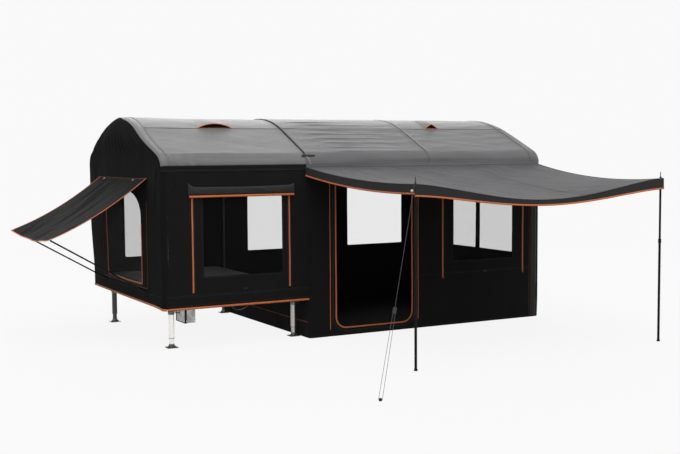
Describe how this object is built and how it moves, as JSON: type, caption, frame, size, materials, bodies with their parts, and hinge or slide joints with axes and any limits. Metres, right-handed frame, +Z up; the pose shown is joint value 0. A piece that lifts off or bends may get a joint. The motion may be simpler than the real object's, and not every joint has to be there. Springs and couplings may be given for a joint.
{
  "type": "folding camper tent",
  "caption": "Pitched camper tent: raised bed pod on a deck with telescopic legs, open to a room on the ground, with a poled awning and a propped window awning.",
  "frame": {"origin": "on the ground under the ridge, 60 mm inside the room's edge beside the bed pod", "axes": "+X along the ridge from the bed pod to the room, -Y towards the door and awning, +Z up"},
  "size_m": [5.7266, 5.3616, 2.3753],
  "materials": {
    "wall_canvas": "matt dark canvas",
    "roof_canvas": "coated grey canvas",
    "window_screen": "fine black mesh",
    "ground_sheet": "coated ground sheet",
    "hoop_steel": "dark painted tube",
    "deck_paint": "black painted steel",
    "deck_plywood": "birch plywood",
    "mattress_cloth": "grey mattress cover",
    "leg_steel": "bright zinc plated steel",
    "foot_steel": "dull zinc plated steel",
    "service_grey": "grey powder coat",
    "black_paint": "black powder coat",
    "black_plastic": "moulded black plastic",
    "guy_cord": "braided dark cord"
  },
  "bodies": {
    "tent": {"pod_end_wall": "wall_canvas", "pod_front_wall": "wall_canvas", "pod_rear_wall": "wall_canvas", "pod_roof": "roof_canvas", "pod_screens": "window_screen", "room_front_wall": "wall_canvas", "room_rear_wall": "wall_canvas", "room_end_wall": "wall_canvas", "room_roof": "roof_canvas", "room_screens": "window_screen", "room_low_wall": "wall_canvas", "ground_sheet": "ground_sheet", "hoop_pod_end": "hoop_steel", "hoop_junction": "hoop_steel", "hoop_room_middle": "hoop_steel", "hoop_room_end": "hoop_steel", "deck_frame": "deck_paint", "deck_board": "deck_plywood", "mattress": "mattress_cloth", "leg_sleeve_front_left": "leg_steel", "leg_sleeve_rear_left": "leg_steel", "leg_sleeve_front_right": "leg_steel", "leg_sleeve_rear_right": "leg_steel", "leg_clamps": "leg_steel", "service_box": "service_grey", "service_bracket": "black_paint", "awning": "roof_canvas", "awning_rail": "black_plastic", "awning_pole_left": "black_paint", "awning_pole_right": "black_paint", "guy_line": "guy_cord", "guy_runner": "black_plastic", "guy_peg": "black_plastic", "pod_end_awning": "roof_canvas", "awning_strut_front": "black_paint", "awning_strut_rear": "black_paint", "pod_cover_roll": "wall_canvas", "vent_hood_pod": "roof_canvas", "vent_hood_room": "roof_canvas"},
    "leg_front_left": {"leg_tube_front_left": "leg_steel", "leg_foot_front_left": "foot_steel"},
    "leg_rear_left": {"leg_tube_rear_left": "leg_steel", "leg_foot_rear_left": "foot_steel"},
    "leg_front_right": {"leg_tube_front_right": "leg_steel", "leg_foot_front_right": "foot_steel"},
    "leg_rear_right": {"leg_tube_rear_right": "leg_steel", "leg_foot_rear_right": "foot_steel"}
  },
  "joints": [
    {"name": "leg_front_left_slide", "type": "slide", "parent": "tent", "child": "leg_front_left", "axis": [0, 0, -1], "range_m": [-0.04, 0.16]},
    {"name": "leg_rear_left_slide", "type": "slide", "parent": "tent", "child": "leg_rear_left", "axis": [0, 0, -1], "range_m": [-0.04, 0.16]},
    {"name": "leg_front_right_slide", "type": "slide", "parent": "tent", "child": "leg_front_right", "axis": [0, 0, -1], "range_m": [-0.04, 0.16]},
    {"name": "leg_rear_right_slide", "type": "slide", "parent": "tent", "child": "leg_rear_right", "axis": [0, 0, -1], "range_m": [-0.04, 0.16]}
  ]
}
